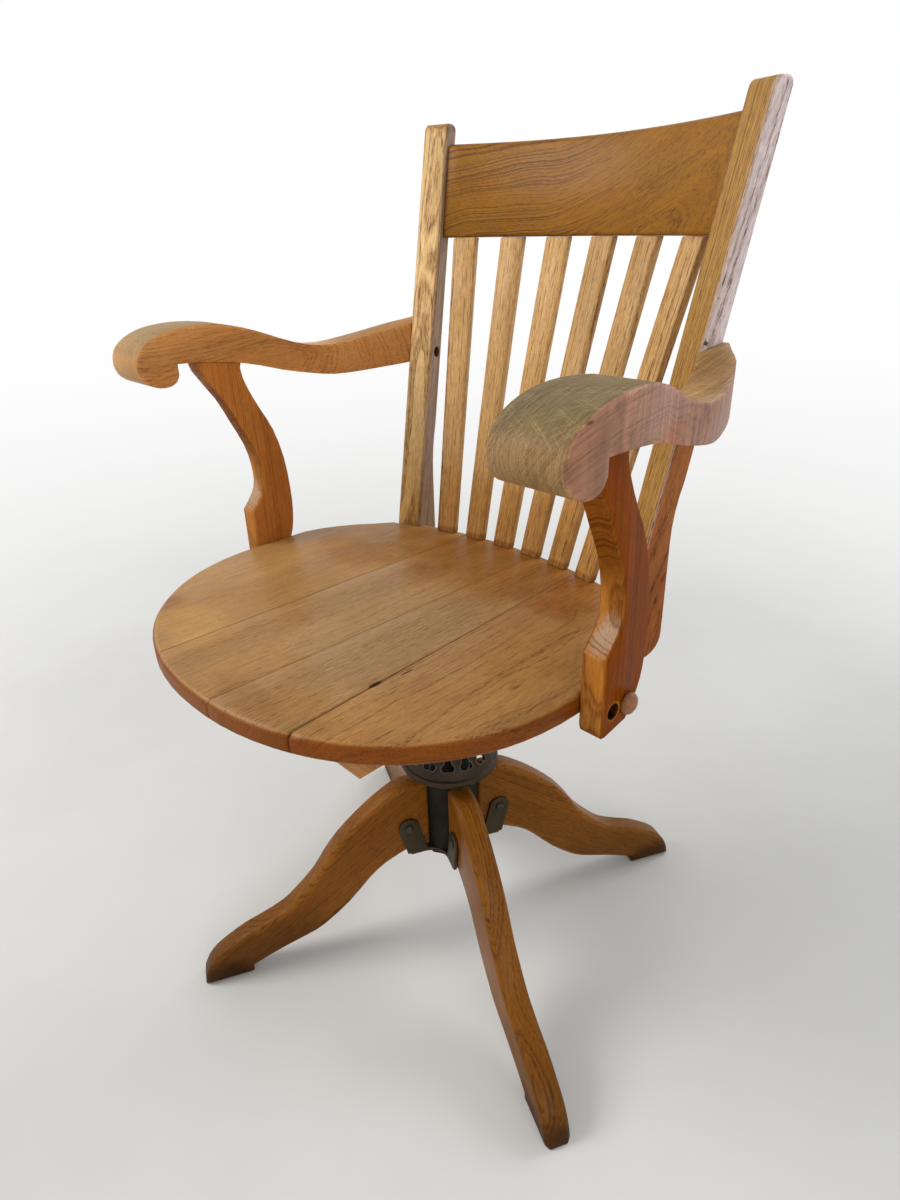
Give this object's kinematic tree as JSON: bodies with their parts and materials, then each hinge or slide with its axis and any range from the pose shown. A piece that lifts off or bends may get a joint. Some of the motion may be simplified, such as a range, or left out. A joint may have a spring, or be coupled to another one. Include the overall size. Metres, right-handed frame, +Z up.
{
  "type": "bankers swivel chair",
  "caption": "Wooden desk armchair with a slatted back, curved arms and a rounded board seat, on four sawn legs with an iron swivel, screw height and spring tilt mechanism.",
  "frame": {"origin": "on the floor, on the swivel axis, midway between the feet and the seat's edges", "axes": "+Z up along the swivel axis, -Y the way the sitter faces, +X to the sitter's left"},
  "size_m": [0.6046, 0.5931, 0.93],
  "materials": {
    "oak_seat": "worn satin varnish",
    "oak_back": "worn satin varnish",
    "oak_arm": "worn satin varnish",
    "oak_leg": "worn satin varnish",
    "oak_hidden": "worn satin varnish",
    "iron_casting": "dark, worn",
    "steel_screw": "dark, oxidised",
    "steel_bright": "bare, worn"
  },
  "bodies": {
    "base": {"leg_1": "oak_leg", "leg_2": "oak_leg", "leg_3": "oak_leg", "leg_4": "oak_leg", "hub_casing": "iron_casting", "star_plate": "iron_casting", "base_nut": "iron_casting", "tab_screw_1": "steel_screw", "tab_screw_2": "steel_screw", "tab_screw_3": "steel_screw", "tab_screw_4": "steel_screw", "tab_screw_5": "steel_screw", "tab_screw_6": "steel_screw", "tab_screw_7": "steel_screw", "tab_screw_8": "steel_screw"},
    "sleeve": {"swivel_sleeve": "steel_bright", "thrust_washer": "steel_bright"},
    "wheel": {"handwheel": "iron_casting"},
    "spindle": {"screw_spindle": "steel_screw", "yoke": "iron_casting", "pivot_pin": "steel_bright", "tension_spring": "steel_bright"},
    "bolt": {"tension_bolt": "steel_bright"},
    "cup": {"spring_cup": "steel_screw"},
    "knob": {"tension_knob": "iron_casting"},
    "seat": {"seat_board_1": "oak_seat", "seat_board_2": "oak_seat", "seat_board_3": "oak_seat", "seat_board_4": "oak_seat", "post_left": "oak_back", "post_right": "oak_back", "crest_rail": "oak_back", "slat_1": "oak_back", "slat_2": "oak_back", "slat_3": "oak_back", "slat_4": "oak_back", "slat_5": "oak_back", "slat_6": "oak_back", "arm_left": "oak_arm", "arm_right": "oak_arm", "arm_support_left": "oak_arm", "arm_support_right": "oak_arm", "support_plug_left": "oak_arm", "support_plug_right": "oak_arm", "seat_batten_front": "oak_hidden", "seat_batten_rear": "oak_hidden", "seat_iron": "iron_casting", "iron_screw_1": "steel_screw", "iron_screw_2": "steel_screw", "iron_screw_3": "steel_screw", "iron_screw_4": "steel_screw", "post_screw_left": "steel_screw", "arm_screw_left": "steel_screw", "arm_support_screw_front_left": "steel_screw", "arm_support_screw_rear_left": "steel_screw", "post_screw_right": "steel_screw", "arm_screw_right": "steel_screw", "arm_support_screw_front_right": "steel_screw", "arm_support_screw_rear_right": "steel_screw", "bolt_pin": "steel_bright"}
  },
  "joints": [
    {"name": "swivel", "type": "hinge", "parent": "base", "child": "sleeve", "pos_m": [0, 0, 0.24], "axis": [0, 0, 1], "continuous": true},
    {"name": "handwheel_turn", "type": "hinge", "parent": "sleeve", "child": "wheel", "pos_m": [0, 0, 0.26], "axis": [0, 0, 1], "range_deg": [-1418, 4536]},
    {"name": "height", "type": "slide", "parent": "sleeve", "child": "spindle", "axis": [0, 0, 1], "range_m": [-0.08, 0.025]},
    {"name": "tilt", "type": "hinge", "parent": "spindle", "child": "seat", "pos_m": [0, 0, 0.436], "axis": [-1, 0, 0], "range_deg": [0, 18], "stiffness_Nm_per_rad": 250, "springref_deg": -4.58, "deforming": ["tension_spring"]},
    {"name": "bolt_swing", "type": "hinge", "parent": "seat", "child": "bolt", "pos_m": [0, -0.095, 0.43], "axis": [-1, 0, 0], "range_deg": [-16, 0]},
    {"name": "tension", "type": "slide", "parent": "bolt", "child": "cup", "axis": [0, 0, 1], "range_m": [0, 0.006], "deforming": ["tension_spring"]},
    {"name": "knob_turn", "type": "hinge", "parent": "cup", "child": "knob", "pos_m": [0, -0.095, 0.33], "axis": [0, 0, 1], "range_deg": [0, 1240]}
  ],
  "couplings": [
    {"joint": "handwheel_turn", "follows": "height", "rad_per_m": -989.48},
    {"joint": "bolt_swing", "follows": "tilt", "ratio": -0.87},
    {"joint": "knob_turn", "follows": "tension", "rad_per_m": 3590.4}
  ]
}
